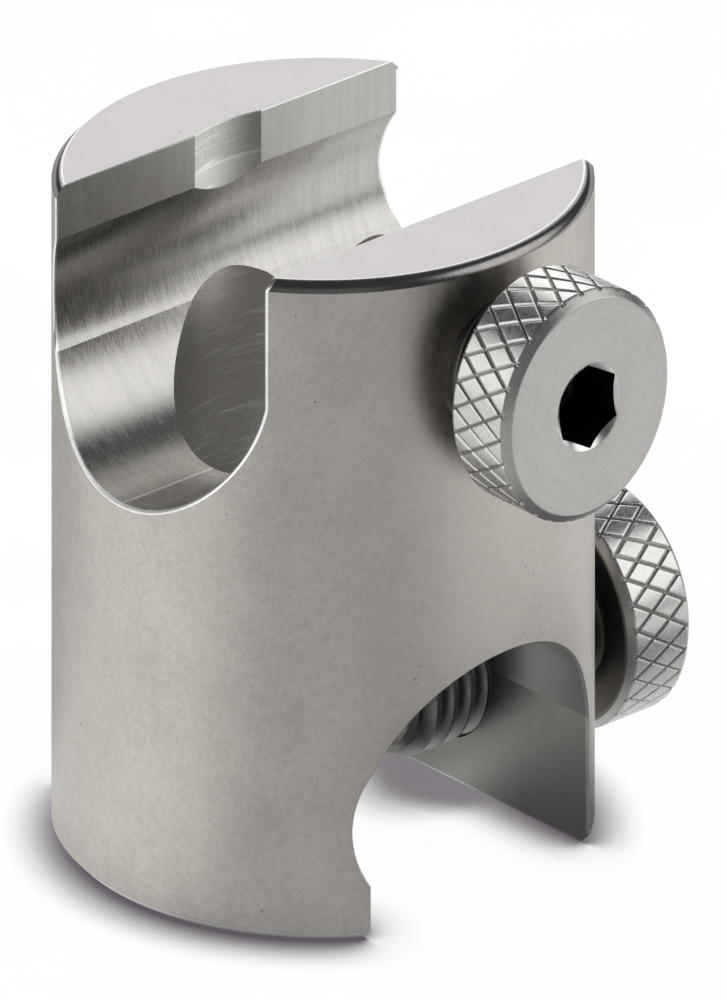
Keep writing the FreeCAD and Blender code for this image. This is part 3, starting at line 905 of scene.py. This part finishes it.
def floor_material(stage):
    """Pale floor that shows as white, to the camera and in the steel, with a painted shadow close round what stands on
    it.

    The steel sees it bright on the left and on the right only, a painted reflection as of a studio that is lit from
    both sides.
    """
    material = bpy.data.materials.new("pale_floor")
    material.use_nodes = True
    tree = material.node_tree
    tree.nodes.clear()
    rays = node(tree, "ShaderNodeLightPath").outputs
    place = node(tree, "ShaderNodeTexCoord").outputs["Object"]
    away = vector_maths(tree, "NORMALIZE", {0: place})
    far = vector_maths(tree, "LENGTH", {0: place}, "Value")

    def towards(degrees):
        """Cosine of the angle between a floor point's direction and one at so many degrees from the camera."""
        way = direction(stage.azimuth + math.radians(degrees), 0.0)
        return vector_maths(tree, "DOT_PRODUCT", {0: away, 1: way}, "Value")

    # Painted reflection: the floor as the steel sees it is darker between the two bright sides and in a patch close by,
    # in front on the right.
    sides = highest(tree, remap(tree, towards(LEFT_SIDE), 0.62, 0.95), remap(tree, towards(RIGHT_SIDE), 0.5, 0.9))
    dimmed = product(tree, maths(tree, "SUBTRACT", 1.0, sides), stage.floor_dim)
    close = product(tree, remap(tree, far, *CLOSE_FADE, 1.0, 0.0), remap(tree, towards(CLOSE_PATCH), 0.35, 0.9),
                    stage.close_dim)
    dimmed = product(tree, rays["Is Glossy Ray"], highest(tree, dimmed, close))
    tone = remap(tree, noise(tree, place, 40.0, 3.0), 0.3, 0.7, 0.99, 1.0)
    tone = product(tree, tone, maths(tree, "SUBTRACT", 1.0, dimmed))

    # The painted shadow's middle lies a millimetre towards the camera, so it reaches a little further there.
    near = node(tree, "ShaderNodeAmbientOcclusion", {"Distance": stage.shadow_reach}, samples=12).outputs["AO"]
    shifted = vector_maths(tree, "SUBTRACT", {0: place, 1: direction(stage.azimuth, 0.0) * MM})
    reach = vector_maths(tree, "LENGTH", {0: shifted}, "Value")
    open_floor = highest(tree, remap(tree, near, 0.5, 1.0), remap(tree, reach, *SHADOW_FADE),
                         remap(tree, far, *ARCH_FADE, 0.12, 0.0), product(tree, rays["Is Glossy Ray"], 0.8))
    shade = scaled(tree, blend_colours(tree, open_floor, stage.shadow, stage.floor), tone)
    seen = highest(tree, rays["Is Camera Ray"], rays["Is Glossy Ray"])
    matt = node(tree, "ShaderNodeBsdfDiffuse", {"Color": scaled(tree, shade, 1.0 - stage.glow)})
    glow = node(tree, "ShaderNodeEmission", {"Color": shade, "Strength": product(tree, seen, stage.glow)})
    sum_of_two = node(tree, "ShaderNodeAddShader", {0: matt.outputs[0], 1: glow.outputs[0]})
    node(tree, "ShaderNodeOutputMaterial", {"Surface": sum_of_two.outputs[0]})
    return material


def add_floor(context, stage):
    """A round floor just under the lowest point of the clamp."""
    mesh = bmesh.new()
    bmesh.ops.create_circle(mesh, cap_ends=True, segments=96, radius=FLOOR_RADIUS)
    data = bpy.data.meshes.new("floor")
    mesh.to_mesh(data)
    mesh.free()
    data.materials.append(floor_material(stage))
    floor = bpy.data.objects.new("floor", data)
    floor.location.z = CAD_BOX[0].z - FLOOR_GAP
    context.scene.collection.objects.link(floor)


def direction(azimuth, elevation):
    """The direction from the clamp to a viewer. Azimuth 0 stands in front and 90 stands on the right."""
    level = math.cos(elevation)
    return Vector((math.sin(azimuth) * level, -math.cos(azimuth) * level, math.sin(elevation)))


def add_world(context, stage):
    """Soft panels for the steel to mirror, even light for the floor, and white behind everything."""
    world = bpy.data.worlds.new("studio")
    world.use_nodes = True
    tree = world.node_tree
    tree.nodes.clear()

    # The kinds of ray that Light Path names are told apart only where the world isn't sampled as a lamp.
    world.cycles.sampling_method = "NONE"
    way = node(tree, "ShaderNodeTexCoord").outputs["Generated"]

    # Each panel's direction from the camera's, its height, and the angles from its middle at which it starts to fade
    # and is gone, all in degrees
    panels = (
        (LEFT_SIDE, 15, 22, 42, stage.left),
        (RIGHT_SIDE, 30, 18, 34, stage.right),
        (180, 28, 14, 27, stage.behind),
        (0, 22, 16, 32, stage.front),
    )
    studio = stage.base
    for azimuth, elevation, inner, outer, strength in panels:
        middle = direction(stage.azimuth + math.radians(azimuth), math.radians(elevation))
        dot = vector_maths(tree, "DOT_PRODUCT", {0: way, 1: middle}, "Value")
        limits = (math.cos(math.radians(outer)), math.cos(math.radians(inner)))
        studio = maths(tree, "ADD", remap(tree, dot, *limits, 0.0, strength), studio)
    rays = node(tree, "ShaderNodeLightPath").outputs
    even = highest(tree, rays["Is Camera Ray"], rays["Is Diffuse Ray"])
    strength = pick(tree, even, 1.0, studio)
    sky = node(tree, "ShaderNodeBackground", {"Color": (1.0, 1.0, 1.0, 1.0), "Strength": strength})
    node(tree, "ShaderNodeOutputWorld", {"Surface": sky.outputs[0]})
    context.scene.world = world


def add_camera(context, stage):
    """A camera that looks down on the clamp and still shows its upright edges parallel.

    It hangs on a stand that is stretched along one slanting axis and squeezed along another, so that the camera's up
    axis stays vertical while its view axis points down at the clamp.
    """
    right = Vector((math.cos(stage.azimuth), math.sin(stage.azimuth), 0.0))
    up = Vector((0.0, 0.0, 1.0))
    back = direction(stage.azimuth, stage.elevation)
    long_half = math.sqrt(1 + up.dot(back))
    short_half = math.sqrt(1 - up.dot(back))
    long_way = (up + back).normalized()
    short_way = (up - back).normalized()

    stand = bpy.data.objects.new("camera_stand", None)
    context.scene.collection.objects.link(stand)
    target = Vector((0.0, 0.0, BLOCK_TOP)) + right * AIM_RIGHT - up * AIM_DOWN
    turn = columns(right, short_way, long_way).to_quaternion()
    stand.matrix_world = Matrix.LocRotScale(
        target + back * stage.distance, turn, Vector((1.0, short_half, long_half))
    )
    lens = bpy.data.cameras.new("camera")
    lens.lens = stage.lens
    lens.clip_start = NEAR_CLIP
    lens.clip_end = FAR_CLIP
    camera = bpy.data.objects.new("camera", lens)
    context.scene.collection.objects.link(camera)
    camera.parent = stand
    camera.rotation_euler = (STAND_TURN, 0.0, 0.0)
    context.scene.camera = camera


class CLAMP_OT_stage(bpy.types.Operator):
    """Set the floor, the lights, the camera and the colour management."""

    bl_idname = "clamp.stage"
    bl_label = "Set the Stage"

    def execute(self, context):
        stage = context.scene.clamp_stage
        add_floor(context, stage)
        add_world(context, stage)
        add_camera(context, stage)
        context.scene.view_settings.view_transform = "Standard"
        return {"FINISHED"}


class CLAMP_PT_panel(bpy.types.Panel):
    """The clamp's operators and settings."""

    bl_idname = "CLAMP_PT_panel"
    bl_label = "Cross Clamp Block"
    bl_space_type = "VIEW_3D"
    bl_region_type = "UI"
    bl_category = "Clamp"

    def draw(self, context):
        layout = self.layout
        for operator in OPERATORS:
            layout.operator(operator.bl_idname)
        for settings in (context.scene.clamp_screw_sizes, context.scene.clamp_finish, context.scene.clamp_stage):
            box = layout.box()
            for name in settings.bl_rna.properties.keys():
                if name not in {"rna_type", "name"}:
                    box.prop(settings, name)


OPERATORS = (CLAMP_OT_block, CLAMP_OT_screws, CLAMP_OT_stage)
CLASSES = (ClampScrewSizes, ClampFinish, ClampStage, *OPERATORS, CLAMP_PT_panel)


def register():
    """Register the classes and hang the settings on the scene."""
    for item in CLASSES:
        bpy.utils.register_class(item)
    bpy.types.Scene.clamp_screw_sizes = PointerProperty(type=ClampScrewSizes)
    bpy.types.Scene.clamp_finish = PointerProperty(type=ClampFinish)
    bpy.types.Scene.clamp_stage = PointerProperty(type=ClampStage)


def unregister():
    """Take the settings and the classes off again."""
    del bpy.types.Scene.clamp_stage
    del bpy.types.Scene.clamp_finish
    del bpy.types.Scene.clamp_screw_sizes
    for item in reversed(CLASSES):
        bpy.utils.unregister_class(item)


def main():
    register()
    bpy.ops.clamp.block()
    bpy.ops.clamp.screws()
    bpy.ops.clamp.stage()


if __name__ == "__main__":
    main()
